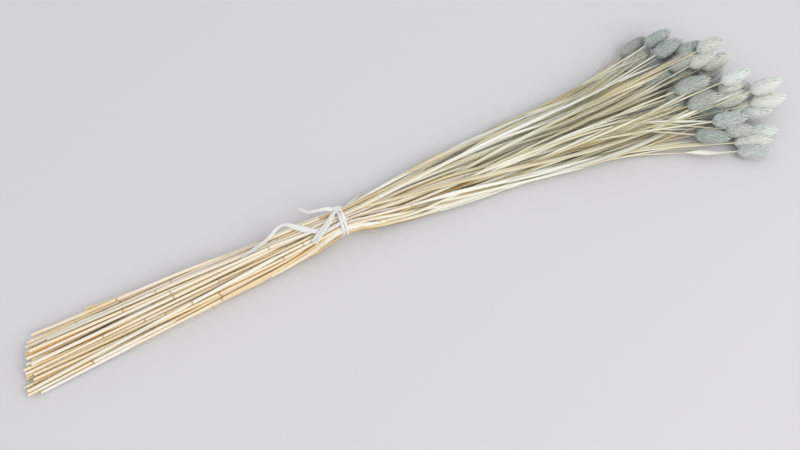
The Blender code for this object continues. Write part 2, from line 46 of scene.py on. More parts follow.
import bmesh
import bpy
import numpy as np
from mathutils import Matrix, Vector

rng = np.random.default_rng(4)
UV_NAME = "Along"

# The camera: the photograph's size and the tie's place in it, in pixels, then metres and angles
IMAGE_WIDTH, IMAGE_HEIGHT = 800, 450
TIE_AT_PIXEL = (341, 222)
TIE_HEIGHT = 0.012
VIEW_TURN, VIEW_DOWN = math.radians(22.25), math.radians(60)
VIEW_DISTANCE = 0.835
VIEW_WIDTH = math.radians(45)

# All meshes: metres, and the angle from which an edge is sharp
FLOOR_CLEAR = 0.0002
SAME_POINT = 1e-7
SHARP_ANGLE = math.radians(48)

# Stems, in metres
STEM_ROUND = 10
STEM_STEP = 0.007
LINE_STEP = 0.002
SMOOTH_OVER = 0.022
DRAWN_ON = 0.05  # how far a line goes on past both its ends while it is smoothed
SAME_RING = 0.00003
JOINT_STANDS_OUT = 1.12
JOINT_STEPS = (-0.0016, -0.0007, -0.0001, 0.0006, 0.0012, 0.0018)
JOINT_HEIGHTS = (0.0, 0.35, 1.0, 0.9, 0.25, 0.0)
JOINT_SWELL = 0.00026
JOINT_CLEAR = 0.0025  # a stem's even rings stay this far from its joints
NECK_FROM, NECK_OVER = 0.24, 0.10  # where a stem narrows towards its head
NECK_THINNER = 0.25  # the share of its radius that it loses there
HOLLOW_RIM, HOLLOW_DEPTH = 0.00042, 0.0012
HEAD_REACH = 0.003  # how far a stem runs on inside its head
COVER_AT = np.linspace(-0.26, 0.30, 29)  # where the stems over another are counted
COVER_NEAR, COVER_ABOVE = 0.0030, 0.0008  # how near to it and how far above it they lie
COVER_FULL = 2.0  # how many cover it fully
RUNS_ON = 0.01  # how far an outermost stem still runs

# Sleeves from the joints and leaf sheaths before the heads: half the angle that one covers, and the share
# of its length over which it opens. Ranges of random draws stand where they are drawn.
SLEEVE_COVERS, SLEEVE_OPENS = math.radians(172), 0.28
SHEATH_COVERS, SHEATH_OPENS = math.radians(170), 0.30
SLEEVE_THICK = 0.00016
SHEATH_STEP = 0.006
SLEEVE_LEAST, SLEEVE_CLEAR = 0.02, 0.012  # its least length, and its distance from the head
OFF_STEM = 0.0001
HELD_NEAR = 0.02  # the tie presses sheaths flat within this distance
SHEATHED_FROM, SHEATHED_TO = 0.024, 0.27  # where a leaf sheath thickens some stems, from the tie
SWOLLEN_LEAST = 0.00015  # by which such a stem is thicker
FLATTENED = 220  # how much flatter its sheath is for each metre of that

# Leaf blades and loose fibres, in metres
LEAF_MATERIAL = 1  # the second of a stalk's two materials
LEAF_THICK = 0.00018
LEAF_BOW = 0.18  # of half its width
LEAF_STEP = 0.008
LEAF_LEAST, LEAF_CLEAR = 0.03, 0.004
OFF_SHEATH = 0.0002
LOOSE_LEAVES = 5  # for each stem, before its head
BUNCH_MIDDLE, BUNCH_SPREADS = 0.010, 0.14  # loose leaves drift out with the stems round them
FIBRE_RADIUS = 0.00025
GAPS_AT = (0.13, 0.17, 0.21, 0.25, 0.29)  # distances from the tie where stems may lie apart
GAP_LEAST, GAP_WIDE = 0.0036, 0.0048  # between the middles of two stems, as the camera sees them
GAP_SHARES = (0.6, 1.35)  # of a wide gap, where its two leaves end
GAP_RUNS_ON = 0.02  # how far both stems go on past it
GAP_LEAF_BEFORE, GAP_LEAF_LIFT = 0.055, -0.003
GAP_LEAF_OVER, GAP_LEAF_WIDEST = 0.0008, 0.0044  # how much wider than the gap it is, and the most

# Loose hairs on the bunch's edges: distance from the tie, which side, length and how far they curl away
EDGE_FIBRES = (
    (0.246, 1, 0.062, 0.008),
    (0.268, 1, 0.046, 0.006),
    (0.215, 1, 0.014, 0.007),
    (0.070, 1, 0.022, 0.004),
    (0.012, 1, 0.020, 0.003),
    (0.150, 1, 0.030, 0.003),
    (0.010, -1, 0.020, 0.012),
    (0.120, -1, 0.030, 0.003),
    (0.300, -1, 0.036, 0.005),
)

# Broad dry leaves on the bunch's edges: as above, with a width before how far they drift
EDGE_LEAVES = (
    (-0.045, -1, 0.100, 0.0060, -0.002),
    (0.060, -1, 0.140, 0.0055, -0.003),
    (0.180, -1, 0.120, 0.0050, -0.004),
    (0.316, -1, 0.044, 0.0070, 0.002),
    (0.090, 1, 0.130, 0.0045, -0.004),
    (0.004, 1, 0.036, 0.0024, 0.0030),
    (0.030, 1, 0.050, 0.0030, 0.0020),
)
EDGE_LEAF_TONE = 0.85

# Seed heads, in metres and in shares of a head's own length and radius
HEAD_SKEW, HEAD_BLUNT, HEAD_TAPERS = 0.88, 0.62, 0.10
HEAD_LENGTH, HEAD_SHORTEST, HEAD_LONGEST = 0.0335, 0.026, 0.040
HEAD_RADIUS = 0.0068
HEAD_LONGER = 1.04  # the chaff's tips stand out beyond the solid's end
ON_AXIS = 0.0003
CORE_LENGTH, CORE_RADIUS = 0.93, 0.74
ROOT_RADIUS = 0.76
TIP_RADIUS, TIP_NARROWS = 1.05, 0.13
FIRST_TIP, LAST_TIP = 0.10, 0.985
SPIKELET_SPAN = 0.165
SPIKELET_LENGTH, SPIKELET_WIDTH, SPIKELET_THICK = 0.0062, 0.0023, 0.0010
SPIKELET_KEEL, SPIKELET_BACK = 1.35, 0.5  # of half its thickness, outwards and inwards
SPIKELET_FLARE = 0.17  # how far its tip turns out, as a share of its length
SPIKELET_STEP = 0.0022  # round the head
TIER_STEP = 0.0017
# Painted light: heads further along the bunch and further to its sides are paler, as the more openly lit
# ones
HEADS_FROM, HEADS_OVER = 0.342, 0.056  # over this stretch along the bunch the heads grow paler
PAINTED_LIGHT_ASIDE = 2.6  # as they do with each metre to the side

# The ribbon's three tails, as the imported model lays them: x, y, z, and degrees that their width is turned
SHORT_TAIL = (
    (-0.0041, 0.0077, 0.0234, 8),
    (-0.0074, 0.0093, 0.0243, 22),
    (-0.0107, 0.0103, 0.0245, 34),
    (-0.0142, 0.0110, 0.0241, 42),
    (-0.0178, 0.0120, 0.0234, 46),
    (-0.0213, 0.0130, 0.0224, 48),
    (-0.0245, 0.0145, 0.0216, 48),
    (-0.0273, 0.0169, 0.0213, 45),
    (-0.0306, 0.0212, 0.0219, 40),
)
BROAD_TAIL = (
    (-0.0054, 0.0034, 0.0232, 0),
    (-0.0080, 0.0012, 0.0226, 0),
    (-0.0105, -0.0010, 0.0220, 0),
    (-0.0136, -0.0036, 0.0218, 0),
    (-0.0167, -0.0060, 0.0220, 0),
    (-0.0199, -0.0083, 0.0220, 0),
    (-0.0231, -0.0106, 0.0214, 0),
    (-0.0263, -0.0127, 0.0205, 0),
    (-0.0300, -0.0150, 0.0198, 0),
)
LONG_TAIL = (
    (-0.0042, -0.0066, 0.0211, 0),
    (-0.0100, -0.0077, 0.0207, 0),
    (-0.0160, -0.0078, 0.0204, 0),
    (-0.0212, -0.0066, 0.0205, 0),
    (-0.0262, -0.0040, 0.0204, 0),
    (-0.0318, -0.0004, 0.0204, 8),
    (-0.0375, 0.0038, 0.0206, 25),
    (-0.0428, 0.0077, 0.0216, 50),
    (-0.0482, 0.0100, 0.0224, 70),
    (-0.0538, 0.0093, 0.0214, 60),
    (-0.0600, 0.0062, 0.0196, 35),
    (-0.0668, 0.0030, 0.0184, 12),
    (-0.0752, 0.0003, 0.0182, 0),
    (-0.0835, -0.0020, 0.0179, 0),
    (-0.0910, -0.0038, 0.0180, 0),
)
RIBBON_WIDTH = 0.005
RIBBON_THICK = 0.00026
RIBBON_BOW = 0.03  # of its width
RIBBON_ROUND = 12

# A tail's width as shares of the ribbon's: places along it, and the share at each
SHORT_TAIL_WIDTHS = ((0, 0.2, 0.6, 1), (0.76, 0.6, 0.5, 0.4))
BROAD_TAIL_WIDTHS = ((0, 0.5, 1), (0.72, 1.1, 1.0))
LONG_TAIL_WIDTHS = ((0, 0.2, 0.33, 0.5, 1), (0.45, 0.9, 1.1, 0.6, 0.5))

# The strands of a tail: middle and width as shares of the ribbon's, height, and the share of its length
TAIL_STRANDS = ((-0.28, 0.46, 0.0, 0.99), (0.0, 0.40, 0.00016, 1.0), (0.28, 0.44, 0.00006, 0.98))
TAIL_PARTS_FROM = 0.6

# The band: its circle, its turns (place along the bunch, width, lift and tone) and its knot
BAND_MIDDLE, BAND_CENTRE, BAND_RADIUS = 0.0005, 0.0121, 0.0122
BAND_TURNS = ((-0.0016, 0.0026, 0.0, 0.4), (0.0015, 0.0022, 0.0002, 0.9))
BAND_RINGS = 61
BAND_CLEAR = 0.0003
BAND_WAVERS, BAND_UNEVEN = 0.0006, 0.15  # how far a turn strays, and how much its width varies
KNOT_AT = 55  # degrees round the band
KNOT_BEND = 1.45  # radians that its turns bend over on each side
KNOT_LONG, KNOT_HIGH, KNOT_OFF_BAND = 0.0040, 0.0019, 0.0002

# The knot's turns: place round the band, slant, width and lift
KNOT_TURNS = (
    (-0.0014, 0.0002, 0.0026, 0.0),
    (0.0015, -0.0003, 0.0024, 0.0001),
    (0.0, 0.0006, 0.0020, 0.0004),
)

# The starts of the tails, from under the knot to where each tail begins
KNOT_LEADS = (
    ((0.0026, 0.0058, 0.0232), (0.0014, 0.0066, 0.0247),
     (-0.0018, 0.0074, 0.0248), (-0.0052, 0.0081, 0.0236)),
    ((0.0030, 0.0048, 0.0243), (0.0008, 0.0050, 0.0252),
     (-0.0022, 0.0045, 0.0247), (-0.0060, 0.0030, 0.0232)),
    ((0.0050, -0.0050, 0.0222), (0.0022, -0.0056, 0.0233),
     (-0.0010, -0.0062, 0.0230), (-0.0050, -0.0068, 0.0211)),
)
LEAD_WIDTH = 0.0030

# Colours, and ramps of them from shade to light
STRAW_AT_BUTTS = ((0.08, "C98C41"), (0.28, "E5BF80"), (0.48, "F2E2BF"), (0.75, "F1EAD8"), (1.0, "EDEAE2"))
STRAW_AT_HEADS = ((0.10, "A4905A"), (0.40, "D4CCA6"), (0.70, "E8E6D4"), (1.0, "F4F3EB"))
JOINT_COLOUR = "A4733C"
SHEATH_AT_BUTTS = ((0.10, "C99A55"), (0.35, "E8D3A4"), (0.65, "EFE8D7"), (1.0, "EEEBE2"))
SHEATH_AT_HEADS = ((0.08, "775C2E"), (0.30, "C7BC92"), (0.55, "E7E6D1"), (0.80, "EFF0E9"), (1.0, "F1F2EE"))
# Painted shade along the edges of leaves and sheaths, where they meet the stems
SHEATH_EDGE_SHADE = "7C6A48"
RIBBON_STOPS = ((0.0, "BDBAB0"), (0.35, "DAD8D2"), (0.7, "E9E7E4"), (1.0, "F5F4F3"))
FLOOR_COLOUR = "D3D2D4"

# A spikelet's veins from its keel to its margin, and its colours from bluish to yellowish heads
CHAFF_VEINS = ((0.0, "FFFFFF"), (0.2, "D4D4D4"), (0.5, "A8A8A8"), (0.8, "ECECEC"), (1.0, "FFFFFF"))
CHAFF_PALE = ((0.0, "E2EAE6"), (0.5, "E6EBE4"), (1.0, "EAECE3"))
# The deep colours also serve as painted shade at the spikelets' roots
CHAFF_DEEP = ((0.0, "8A968F"), (0.5, "909A8E"), (1.0, "969B8C"))

# The surface and the white surround
FLOOR_REACH = 6
SURROUND_COLOUR = (0.96, 0.965, 1.0, 1)
SURROUND_STRENGTH = 0.82


def srgb(text):
    """A linear colour from its six hexadecimal digits."""
    parts = [int(text[k:k + 2], 16) / 255 for k in (0, 2, 4)]
    return tuple(c / 12.92 if c <= 0.04045 else ((c + 0.055) / 1.055) ** 2.4 for c in parts) + (1.0,)


def add_object(name, data):
    """A new object of the scene."""
    made = bpy.data.objects.new(name, data)
    bpy.context.scene.collection.objects.link(made)
    return made


def settled(bm, name):
    """The mesh that a finished bmesh becomes."""
    mesh = bpy.data.meshes.new(name)
    bm.to_mesh(mesh)
    bm.free()
    return mesh


# The camera


def place_camera():
    """A camera at the photograph's angle, with the tie at its place in the frame."""
    right = Vector((math.cos(VIEW_TURN), -math.sin(VIEW_TURN), 0))
    ahead = Vector((math.sin(VIEW_TURN), math.cos(VIEW_TURN), 0))
    look = ahead * math.cos(VIEW_DOWN) - Vector((0, 0, math.sin(VIEW_DOWN)))
    up = right.cross(look)
    pixel = 2 * math.tan(VIEW_WIDTH / 2) / IMAGE_WIDTH * VIEW_DISTANCE
    middle = Vector((0, 0, TIE_HEIGHT)) - right * (TIE_AT_PIXEL[0] - IMAGE_WIDTH / 2) * pixel
    middle -= up * (IMAGE_HEIGHT / 2 - TIE_AT_PIXEL[1]) * pixel
    data = bpy.data.cameras.new("camera")
    data.angle = VIEW_WIDTH
    camera = add_object("camera", data)
    rotation = Matrix((right, up, -look)).transposed().to_4x4()
    camera.matrix_world = Matrix.Translation(middle - look * VIEW_DISTANCE) @ rotation
    bpy.context.scene.camera = camera


# Runs: smooth lines with their directions at each point


def unit(rows):
    """Rows of vectors, each made one long."""
    return rows / np.maximum(np.linalg.norm(rows, axis=1), 1e-12)[:, None]


def new_run(at, along, side):
    """A run from its points and its directions along and sideways."""
    steps = np.linalg.norm(np.diff(at, axis=0), axis=1)
    reach = np.concatenate(([0], np.cumsum(steps)))
    out = np.cross(side, along)
    return SimpleNamespace(at=at, along=along, side=side, out=out, reach=reach, length=reach[-1])


def make_run(points, turns=0.0):
    """A run through points, level to the side or turned by some degrees at each of them."""
    at = np.asarray(points, float)
    along = unit(np.gradient(at, axis=0))
    level = unit(np.cross(along, (0, 0, 1)))
    turn = np.radians(np.broadcast_to(turns, len(at)))[:, None]
    return new_run(at, along, level * np.cos(turn) + np.cross(level, along) * np.sin(turn))


def make_wrap(points, outward):
    """A run through points that lies on something: its outward side is given at each of them."""
    at = np.asarray(points, float)
    along = unit(np.gradient(at, axis=0))
    return new_run(at, along, unit(np.cross(along, outward)))


def at_reach(run, values, reach):
    """A run's values at given lengths along it."""
    return np.stack([np.interp(reach, run.reach, values[:, k]) for k in range(3)], axis=1)


def smooth_route(route, steps):
    """Points and turns on a smooth curve through a route's points."""
    rows = np.array(route)
    rows = np.vstack((2 * rows[0] - rows[1], rows, 2 * rows[-1] - rows[-2]))
    curve = []
    for before, start, end, after in zip(rows, rows[1:], rows[2:], rows[3:]):
        for step in range(steps):
            t = step / steps
            bend = (end - before) * t + (2 * before - 5 * start + 4 * end - after) * t**2
            curve.append(start + (bend + (3 * start - before - 3 * end + after) * t**3) / 2)
    curve.append(rows[-2])
    return np.array(curve)


# Bodies along a run


def new_mesh():
    """An empty bmesh with the layers that the materials read."""
    bm = bmesh.new()
    bm.loops.layers.uv.new(UV_NAME)
    for name in ("tone", "tint", "joint"):
        bm.verts.layers.float.new(name)
    return bm


def paint(bm, verts, **values):
    """Sets layers of the mesh at some of its points."""
    for name, value in values.items():
        layer = bm.verts.layers.float[name]
        for vert, number in zip(verts, np.broadcast_to(value, len(verts))):
            vert[layer] = float(number)


def sweep(bm, run, reaches, section, columns):
    """Adds a closed body along a run. section() takes lengths along it and shares round it, and gives
    how far to the side and outwards each point lies."""
    uv_layer = bm.loops.layers.uv[UV_NAME]
    rows = len(reaches) - 1
    made = bmesh.ops.create_grid(bm, x_segments=rows, y_segments=columns, size=0.5, calc_uvs=True)
    verts = made["verts"]
    shares = np.array([vert.co for vert in verts])[:, :2] + 0.5
    reach = np.interp(shares[:, 0], np.linspace(0, 1, rows + 1), reaches)
    aside, outwards = section(reach, shares[:, 1])
    side, out = at_reach(run, run.side, reach), at_reach(run, run.out, reach)
    points = at_reach(run, run.at, reach) + (side * aside[:, None] + out * outwards[:, None])
    points[:, 2] = np.maximum(points[:, 2], FLOOR_CLEAR)
    girth = 2 * math.pi * np.hypot(aside, outwards).mean()
    for vert, point in zip(verts, points):
        vert.co = point
    # Near 1 at a strip's edges, where the leaves' material paints shade into the creases
    paint(bm, verts, tint=np.abs(across_strip(shares[:, 1])) ** 5)
    for face in {face for vert in verts for face in vert.link_faces}:
        for loop in face.loops:
            share = loop[uv_layer].uv
            loop[uv_layer].uv = (np.interp(share.x, (0, 1), (reaches[0], reaches[-1])), share.y * girth)
    return close_body(bm, verts)


def close_body(bm, verts):
    """Merges a swept body's seam, fills its ends and gives the points that are left."""
    bmesh.ops.remove_doubles(bm, verts=verts, dist=SAME_POINT)
    verts = [vert for vert in verts if vert.is_valid]
    rim = list({edge for vert in verts for edge in vert.link_edges if edge.is_boundary})
    if rim:
        bmesh.ops.holes_fill(bm, edges=rim, sides=0)
    return verts


def across_strip(share):
    """From -1 at one edge of a strip to 1 at its other edge, and back on its other side."""
    return np.where(share < 0.5, 4 * share - 1, 3 - 4 * share)


def strip_skin(share, thick):
    """How far a strip's two sides stand off its middle, less towards its edges."""
    return np.where(share < 0.5, 0.5, -0.5) * thick * (1 - across_strip(share) ** 4)


def curved_strip(share, wide, high, half_angle, roll, thick):
    """A thin strip round a run: its half width and half height, half the angle that it covers and where
    its middle is."""
    skin = strip_skin(share, thick)
    angle = roll + across_strip(share) * half_angle
    return (wide + skin) * np.sin(angle), (high + skin) * np.cos(angle)


def flat_strip(share, width):
    """Across a ribbon: flat and a little bowed."""
    across = across_strip(share)
    return across * width / 2, strip_skin(share, RIBBON_THICK) + RIBBON_BOW * width * (1 - across**2)


def finish_piece(name, bm, materials, nodes):
    """A finished object that stands for these nodes and rides on the bunch."""
    bmesh.ops.recalc_face_normals(bm, faces=bm.faces)
    mesh = settled(bm, name)
    for material in materials:
        mesh.materials.append(material)
    mesh.shade_smooth()
    mesh.set_sharp_from_angle(angle=SHARP_ANGLE)
    piece = add_object(name, mesh)
    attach(piece, "root")
    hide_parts(*nodes)
    return piece


# Materials


def put(tree, kind, inputs=None, **settings):
    """A shader node, with its settings and with inputs that are values or sockets to link."""
    node = tree.nodes.new("ShaderNode" + kind)
    for name, value in settings.items():
        setattr(node, name, value)
    for name, value in (inputs or {}).items():
        socket = node.inputs[name]
        if isinstance(value, bpy.types.NodeSocket):
            tree.links.new(value, socket)
        else:
            socket.default_value = value
    return node


def maths(tree, operation, first, second):
    """The result of one Math node."""
    return put(tree, "Math", {0: first, 1: second}, operation=operation).outputs[0]


def weighted(tree, *parts):
    """The sum of some values, each times its weight."""
    terms = [maths(tree, "MULTIPLY", value, weight) for value, weight in parts]
    total = terms[0]
    for term in terms[1:]:
        total = maths(tree, "ADD", total, term)
    return total


def ranged(tree, value, low, high, to_low=0.0, to_high=1.0):
    """A value moved from one range to another, and kept inside it."""
    inputs = {"Value": value, "From Min": low, "From Max": high, "To Min": to_low, "To Max": to_high}
    return put(tree, "MapRange", inputs).outputs["Result"]


def mixed(tree, factor, first, second):
    """The result of mixing two colours."""
    return put(tree, "Mix", {0: factor, 6: first, 7: second}, data_type="RGBA").outputs[2]


def ramped(tree, factor, stops):
    """A colour ramp through (place, colour) stops."""
    node = put(tree, "ValToRGB", {"Fac": factor})
    elements = node.color_ramp.elements
    while len(elements) < len(stops):
        elements.new(0.5)
    for element, (place, colour) in zip(elements, stops):
        element.position = place
        element.color = srgb(colour)
    return node.outputs["Color"]


def layer_value(tree, name):
    """The value of one of the mesh's own layers."""
    return put(tree, "Attribute", attribute_name=name).outputs["Fac"]


def own_map(tree):
    """The two coordinates of a piece's own map."""
    return put(tree, "SeparateXYZ", {0: put(tree, "UVMap", uv_map=UV_NAME).outputs[0]}).outputs


def streak_group():
    """Fine lengthwise streaks and slow blotches, from a piece's own map in metres."""
    tree = bpy.data.node_groups.new("lengthwise streaks", "ShaderNodeTree")
    for way, names in (("INPUT", ("Across", "Along", "Offset")), ("OUTPUT", ("Streaks", "Blotches"))):
        for name in names:
            tree.interface.new_socket(name, in_out=way, socket_type="NodeSocketFloat")
    given = tree.nodes.new("NodeGroupInput").outputs
    parts = own_map(tree)
    shift = maths(tree, "MULTIPLY", given["Offset"], 37.0)
    along = maths(tree, "ADD", maths(tree, "MULTIPLY", parts[0], given["Along"]), shift)
    across = maths(tree, "ADD", maths(tree, "MULTIPLY", parts[1], given["Across"]), shift)
    fine = put(tree, "CombineXYZ", {0: along, 1: across}).outputs[0]
    noise = put(tree, "TexNoise", {"Vector": fine, "Scale": 1.0, "Detail": 3.0, "Roughness": 0.6}).outputs[0]
    slow = put(tree, "CombineXYZ", {0: along, 1: maths(tree, "MULTIPLY", across, 0.12)}).outputs[0]
    broad = put(tree, "TexNoise", {"Vector": slow, "Scale": 0.9, "Detail": 2.0}).outputs[0]
    leaving = tree.nodes.new("NodeGroupOutput").inputs
    tree.links.new(ranged(tree, noise, 0.32, 0.68), leaving["Streaks"])
    tree.links.new(ranged(tree, broad, 0.32, 0.68), leaving["Blotches"])
    return tree


def new_material(name):
    """A new material and its shader."""
    material = bpy.data.materials.new(name)
    material.use_nodes = True
    return material, material.node_tree.nodes["Principled BSDF"]


def start_material(name, streaks, across, along):
    """A material with its shader and its streaks, from which a finish is built."""
    material, shader = new_material(name)
    tree = material.node_tree
    inputs = {"Across": across, "Along": along, "Offset": layer_value(tree, "tone")}
    group = put(tree, "Group", inputs, node_tree=streaks)
    return material, tree, shader, group.outputs["Streaks"], group.outputs["Blotches"]


def wire(tree, shader, colour, roughness, height, depth):
    """Links colour, roughness and a relief of this depth in metres to a shader."""
    tree.links.new(colour, shader.inputs["Base Color"])
    tree.links.new(roughness, shader.inputs["Roughness"])
    bump = put(tree, "Bump", {"Height": height, "Distance": depth, "Strength": 1.0})
    tree.links.new(bump.outputs["Normal"], shader.inputs["Normal"])


def towards_heads(tree, start, end):
    """From 0 to 1 between two distances along the bunch."""
    place = put(tree, "TexCoord").outputs["Object"]
    return ranged(tree, put(tree, "SeparateXYZ", {0: place}).outputs[0], start, end)


def straw_material(streaks):
    """Glossy straw, ivory to tan with fine streaks, brown at the joints and greenish towards the heads."""
    material, tree, shader, fine, broad = start_material("straw", streaks, across=1100.0, along=18.0)
    # The tone layer holds a random tone and painted shade, which turn the straw towards tan
    shade = weighted(tree, (fine, 0.30), (broad, 0.25), (layer_value(tree, "tone"), 0.55))
    warm, green = ramped(tree, shade, STRAW_AT_BUTTS), ramped(tree, shade, STRAW_AT_HEADS)
    colour = mixed(tree, maths(tree, "MULTIPLY", towards_heads(tree, 0.0, 0.27), 0.92), warm, green)
    joint = maths(tree, "MULTIPLY", layer_value(tree, "joint"), 0.75)
    colour = mixed(tree, joint, colour, srgb(JOINT_COLOUR))
    rough = ranged(tree, fine, 0.0, 1.0, 0.62, 0.42)
    wire(tree, shader, colour, rough, fine, depth=0.00006)
    return material


def sheath_material(streaks):
    """Papery leaf sheath: pale, with fine parallel veins, and painted shade that browns its edges."""
    material, tree, shader, fine, broad = start_material("papery sheath", streaks, across=700.0, along=7.0)
    # The tone layer holds a random tone and painted shade where leaves lie under other stems
    shade = weighted(tree, (fine, 0.40), (broad, 0.15), (layer_value(tree, "tone"), 0.55))
    warm, green = ramped(tree, shade, SHEATH_AT_BUTTS), ramped(tree, shade, SHEATH_AT_HEADS)
    colour = mixed(tree, towards_heads(tree, -0.07, 0.18), warm, green)
    edge = maths(tree, "MULTIPLY", layer_value(tree, "tint"), 0.4)
    colour = mixed(tree, edge, colour, srgb(SHEATH_EDGE_SHADE))
    rough = ranged(tree, broad, 0.0, 1.0, 0.70, 0.55)
    wire(tree, shader, colour, rough, fine, depth=0.00007)
    return material


def spikelet_material(streaks):
    """Dyed chaff: sage green, paler along its keel and margins, each spikelet a little different."""
    material, tree, shader, _, broad = start_material("dyed chaff", streaks, across=5.0, along=2.0)
    tone, tint = layer_value(tree, "tone"), layer_value(tree, "tint")
    place = own_map(tree)
    veins = ramped(tree, place[1], CHAFF_VEINS)
    # Painted shade: each spikelet is darker towards its root, where the tier above covers it
    tips = ranged(tree, place[0], 0.55, 0.90, 0.35, 1.0)
    light = maths(tree, "MULTIPLY", put(tree, "RGBToBW", {0: veins}).outputs[0], tips)
    # The tone layer carries the painted light on the more openly lit heads
    pale = ranged(tree, weighted(tree, (light, 0.85), (tone, 0.62)), 0.1, 0.96)
    colour = mixed(tree, pale, ramped(tree, tint, CHAFF_DEEP), ramped(tree, tint, CHAFF_PALE))
    rough = ranged(tree, broad, 0.0, 1.0, 0.80, 0.95)
    wire(tree, shader, colour, rough, veins, depth=0.00005)
    return material


def ribbon_material(streaks):
    """Whitish ribbon of fine parallel fibres."""
    material, tree, shader, fine, broad = start_material("ribbon", streaks, across=1600.0, along=12.0)
    colour = ramped(tree, weighted(tree, (fine, 0.6), (broad, 0.4)), RIBBON_STOPS)
    rough = ranged(tree, fine, 0.0, 1.0, 0.62, 0.45)
    wire(tree, shader, colour, rough, fine, depth=0.00008)
    return material


# Stems


def read_rings(node):
    """The rings of a stem's solid: the middle and the radius of each, from its cut end."""
    corners = sorted({tuple(round(c, 6) for c in vert.co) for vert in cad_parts[node].data.vertices})
    rings = [[corners[0]]]
    for corner in corners[1:]:
        if corner[0] - rings[-1][-1][0] > SAME_RING:
            rings.append([])
        rings[-1].append(corner)
    middles = [np.mean(ring, axis=0) for ring in rings]
    radii = [np.linalg.norm(ring - middle, axis=1).mean() for ring, middle in zip(rings, middles)]
    return np.array(middles), np.array(radii)


def stem_line(node):
    """A stem's smooth middle line, its radius at each of its points, bare and sheathed, and its joints."""
    middles, radii = read_rings(node)
    inner = np.arange(1, len(radii) - 1)
    swollen = [k for k in inner if radii[k] > JOINT_STANDS_OUT * (radii[k - 1] + radii[k + 1]) / 2]
    even = [k for k in range(len(radii)) if k not in swollen]
    start, end = middles[0, 0], middles[-1, 0]
    x = np.arange(start - SMOOTH_OVER, end + SMOOTH_OVER + LINE_STEP, LINE_STEP)
    first, last = unit(middles[1:2] - middles[:1])[0], unit(middles[-1:] - middles[-2:-1])[0]
    ends = (middles[0] - first * DRAWN_ON / first[0], middles[-1] + last * DRAWN_ON / last[0])
    through = np.vstack((ends[:1], middles, ends[1:]))
    reach = int(SMOOTH_OVER / LINE_STEP)
    kernel = np.hanning(2 * reach + 3)[1:-1]
    kernel /= kernel.sum()
    rows = [np.convolve(np.interp(x, through[:, 0], through[:, k]), kernel, "valid") for k in (1, 2)]
    x = x[reach:-reach]
    outer = np.interp(x, middles[even, 0], radii[even])
    bare = [k for k in even if middles[k, 0] < SHEATHED_FROM or k == even[-1]]
    return SimpleNamespace(
        at=np.stack((x, *rows), axis=1),
        outer=outer,
        radius=np.minimum(outer, np.interp(x, middles[bare, 0], radii[bare])),
        joints=middles[swollen, 0],
        base=middles[-1],
        ahead=last,
    )


def reach_of(stem, x):
    """The lengths along a stem at these distances from the tie."""
    return np.interp(x, stem.run.at[:, 0], stem.run.reach)


def prepare_stem(node):
    """Everything that the stem, its sheaths and its head are worked out from."""
    line = stem_line(node)
    beyond = line.base + line.ahead * HEAD_REACH
    run = make_run(np.vstack((line.at[line.at[:, 0] < line.base[0]], line.base, beyond)))
    stem = SimpleNamespace(run=run, base=line.base, ahead=line.ahead)
    stem.radius_along = np.interp(run.at[:, 0], line.at[:, 0], line.radius)
    stem.outer_along = np.interp(run.at[:, 0], line.at[:, 0], line.outer)
    stem.joint_reaches = [float(reach_of(stem, x)) for x in line.joints]
    return stem


def stem_reaches(run, joints):
    """Where a stem has rings: evenly along it, and close together at its joints."""
    even = np.linspace(0, run.length, int(run.length / STEM_STEP))
    near = [joint + step for joint in joints for step in JOINT_STEPS]
    clear = [reach for reach in even if all(abs(reach - joint) > JOINT_CLEAR for joint in joints)]
    return np.array(sorted(clear + near))


def joint_bulge(reach, joints):
    """How much of a joint's swelling there is at these lengths, from 0 to 1."""
    bulge = np.zeros(len(reach))
    for joint in joints:
        bulge = np.maximum(bulge, np.interp(reach - joint, JOINT_STEPS, JOINT_HEIGHTS))
    return bulge


def add_stem(bm, stem):
    """The stem itself, with its joints, a hollow in its cut end, and painted shade on its underside."""
    run, joints = stem.run, stem.joint_reaches
    neck = stem.radius_along * (1 - NECK_THINNER * np.clip((run.at[:, 0] - NECK_FROM) / NECK_OVER, 0, 1))

    def radius(reach):
        return np.interp(reach, run.reach, neck) + JOINT_SWELL * joint_bulge(reach, joints)

    def section(reach, share):
        angle = 2 * math.pi * share - math.pi / 2
        return radius(reach) * np.cos(angle), radius(reach) * np.sin(angle)

    verts = sweep(bm, run, stem_reaches(run, joints), section, STEM_ROUND)
    reach = reach_of(stem, [vert.co.x for vert in verts])
    raised = (np.array([vert.co.z for vert in verts]) - at_reach(run, run.at, reach)[:, 2]) / radius(reach)
    # Painted shade: the lower a point lies on the stem's round, the darker its tone; its upper side stays
    # light
    underside_shade = 0.3 + 0.7 * np.clip(0.5 + 0.9 * raised, 0, 1)
    paint(bm, verts, tone=stem.tone * underside_shade, joint=joint_bulge(reach, joints) ** 1.5)
    hollow_end(bm, verts, run)


def hollow_end(bm, verts, run):
    """Sinks the pith of the cut end, and darkens it with painted shade for the hollow."""
    start = Vector(run.at[0])
    caps = [face for face in {f for vert in verts for f in vert.link_faces} if len(face.verts) > 4]
    cap = min(caps, key=lambda face: (face.calc_center_median() - start).length)
    bmesh.ops.inset_individual(bm, faces=[cap], thickness=HOLLOW_RIM, use_even_offset=True)
    made = bmesh.ops.extrude_discrete_faces(bm, faces=[cap])
    pith = made["faces"][0]
    bmesh.ops.translate(bm, vec=Vector(run.along[0]) * HOLLOW_DEPTH, verts=list(pith.verts))
    # Painted shade in the hollow
    paint(bm, list(pith.verts), tone=0.1, joint=0.45)


# Sheaths, leaves and fibres


def leaf_tone_and_shade(stem):
    """A tone for one of a stem's leaves: random, and darker by painted shade where others cover the stem."""
    return np.clip(rng.uniform(0.32, 1.1) - 0.4 * stem.covered, 0, 1)


